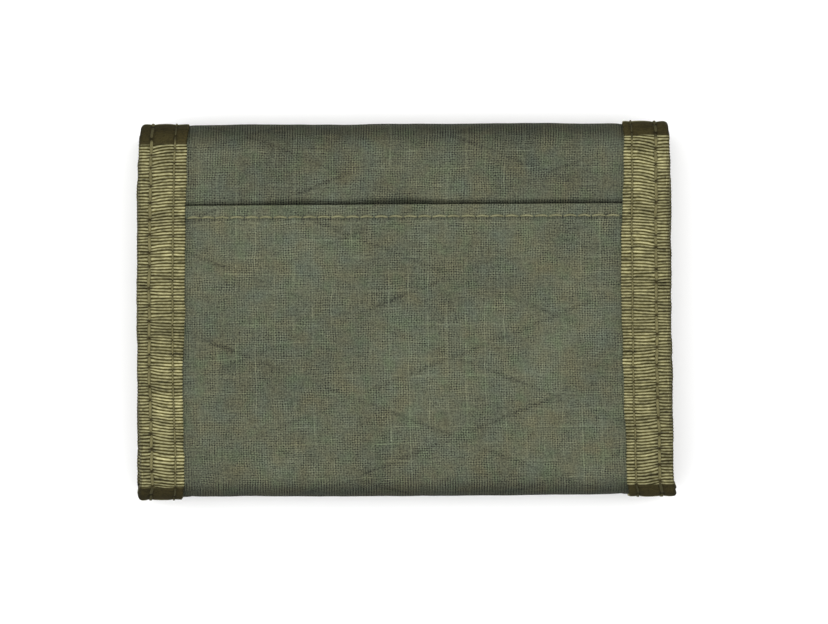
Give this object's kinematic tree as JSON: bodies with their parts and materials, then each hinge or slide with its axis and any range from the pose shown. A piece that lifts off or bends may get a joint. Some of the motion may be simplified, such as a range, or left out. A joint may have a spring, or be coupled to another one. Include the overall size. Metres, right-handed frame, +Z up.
{
  "type": "trifold wallet",
  "caption": "Trifold cloth wallet with bound edges: its panels fold shut over a note compartment, card slots, a clear window pocket and a zipped coin pocket.",
  "frame": {"origin": "centre of the closed wallet's footprint, at the surface it lies on", "axes": "+X along the folds, +Y from the lower fold to the upper fold, +Z up out of the centre panel's outer face"},
  "size_m": [0.1278, 0.0884, 0.016],
  "materials": {
    "shell": "coated ripstop laminate, matt, grey olive",
    "tape": "grosgrain binding tape, tan olive",
    "lining": "plain woven nylon, dark olive",
    "hook": "hook and loop tape, dark olive",
    "thread": "spun polyester thread, light olive",
    "film": "clear vinyl",
    "zip": "nylon coil on woven tape",
    "metal": "dark lacquered zinc"
  },
  "bodies": {
    "outer_flap": {"outer_flap_shell": "shell", "outer_flap_lining": "lining", "outer_flap_binding_left": "tape", "outer_flap_shell_binding_right": "tape", "outer_flap_lining_binding_right": "tape", "outer_flap_end_binding": "tape", "coin_pocket_lower_strip": "lining", "coin_pocket_panel": "lining", "coin_zip_lower_tape": "zip", "coin_zip_upper_tape": "zip", "hook_strip": "hook"},
    "lower_fold": {"lower_fold_shell": "shell", "lower_fold_lining": "lining", "lower_fold_binding_left": "tape", "lower_fold_shell_binding_right": "tape", "lower_fold_lining_binding_right": "tape"},
    "centre": {"slip_pocket_panel": "shell", "slip_pocket_hem_stitching": "thread", "centre_shell": "shell", "centre_lining": "lining", "centre_binding_left": "tape", "centre_shell_binding_right": "tape", "centre_lining_binding_right": "tape", "card_slot_1": "lining", "card_slot_2": "lining", "card_slot_3": "lining"},
    "upper_fold": {"upper_fold_shell": "shell", "upper_fold_lining": "lining", "upper_fold_binding_left": "tape", "upper_fold_binding_right": "tape"},
    "inner_flap": {"inner_flap_shell": "shell", "inner_flap_lining": "lining", "inner_flap_binding_left": "tape", "inner_flap_binding_right": "tape", "inner_flap_end_binding": "tape", "window_film": "film", "window_frame": "lining", "loop_strip": "hook"},
    "zip_slider": {"zip_slider": "metal"},
    "zip_pull": {"zip_pull": "metal"}
  },
  "joints": [
    {"name": "flap_crease", "type": "hinge", "parent": "outer_flap", "child": "lower_fold", "pos_m": [0, -0.04347, 0.00073], "axis": [1, 0, 0], "range_deg": [0, 90]},
    {"name": "centre_lower_crease", "type": "hinge", "parent": "lower_fold", "child": "centre", "pos_m": [0, -0.04347, 0.01527], "axis": [1, 0, 0], "range_deg": [0, 90]},
    {"name": "centre_upper_crease", "type": "hinge", "parent": "centre", "child": "upper_fold", "pos_m": [0, 0.0433, 0.0151], "axis": [1, 0, 0], "range_deg": [0, 90]},
    {"name": "inner_crease", "type": "hinge", "parent": "upper_fold", "child": "inner_flap", "pos_m": [0, 0.0433, 0.0071], "axis": [1, 0, 0], "range_deg": [0, 90]},
    {"name": "zip_slide", "type": "slide", "parent": "outer_flap", "child": "zip_slider", "axis": [1, 0, 0], "range_m": [0, 0.08]},
    {"name": "pull_swing", "type": "hinge", "parent": "zip_slider", "child": "zip_pull", "pos_m": [-0.0429, -0.031, 0.0062], "axis": [0, 0, 1], "range_deg": [-25, 25]}
  ],
  "couplings": [
    {"joint": "centre_lower_crease", "follows": "flap_crease", "ratio": 1},
    {"joint": "centre_upper_crease", "follows": "flap_crease", "ratio": 0.5},
    {"joint": "inner_crease", "follows": "flap_crease", "ratio": 0.5}
  ]
}
